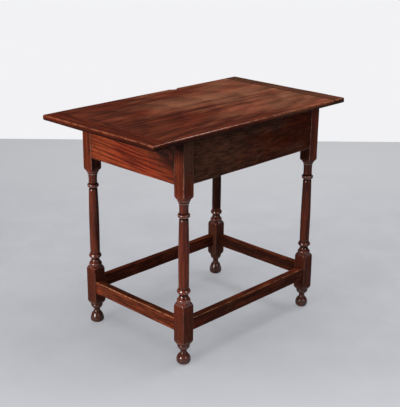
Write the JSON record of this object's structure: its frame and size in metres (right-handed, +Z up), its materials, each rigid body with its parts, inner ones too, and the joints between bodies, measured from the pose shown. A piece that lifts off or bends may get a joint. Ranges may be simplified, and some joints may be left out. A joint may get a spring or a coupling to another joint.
{
  "type": "tavern table",
  "caption": "Small joined wooden table with a thin cleated top, turned legs, deep rails and a box stretcher, in dark worn polish.",
  "frame": {"origin": "on the floor, under the middle of the top", "axes": "+X along the table's length to the right, -Y is the front, +Z up"},
  "size_m": [0.84, 0.48, 0.704],
  "materials": {
    "top_wood": "old wax polish, worn, satin",
    "leg_wood": "old dark polish, satin, worn on the turnings",
    "rail_wood": "old dark polish, satin",
    "stretcher_wood": "old dark polish, rubbed on the upper arris",
    "peg_wood": "end grain, dark"
  },
  "bodies": {
    "root": {"top_board_front": "top_wood", "top_board_back": "top_wood", "top_cleat_left": "top_wood", "top_cleat_right": "top_wood", "leg_front_left": "leg_wood", "leg_front_right": "leg_wood", "leg_back_left": "leg_wood", "leg_back_right": "leg_wood", "rail_front": "rail_wood", "rail_right": "rail_wood", "rail_back": "rail_wood", "rail_left": "rail_wood", "stretcher_front": "stretcher_wood", "stretcher_right": "stretcher_wood", "stretcher_back": "stretcher_wood", "stretcher_left": "stretcher_wood", "rail_pegs_front": "peg_wood", "rail_pegs_right": "peg_wood", "rail_pegs_back": "peg_wood", "rail_pegs_left": "peg_wood", "stretcher_pegs_front": "peg_wood", "stretcher_pegs_right": "peg_wood", "stretcher_pegs_back": "peg_wood", "stretcher_pegs_left": "peg_wood", "top_pegs_front": "peg_wood", "top_pegs_right": "peg_wood", "top_pegs_back": "peg_wood", "top_pegs_left": "peg_wood", "cleat_pegs_left": "peg_wood", "cleat_pegs_right": "peg_wood"}
  },
  "joints": []
}
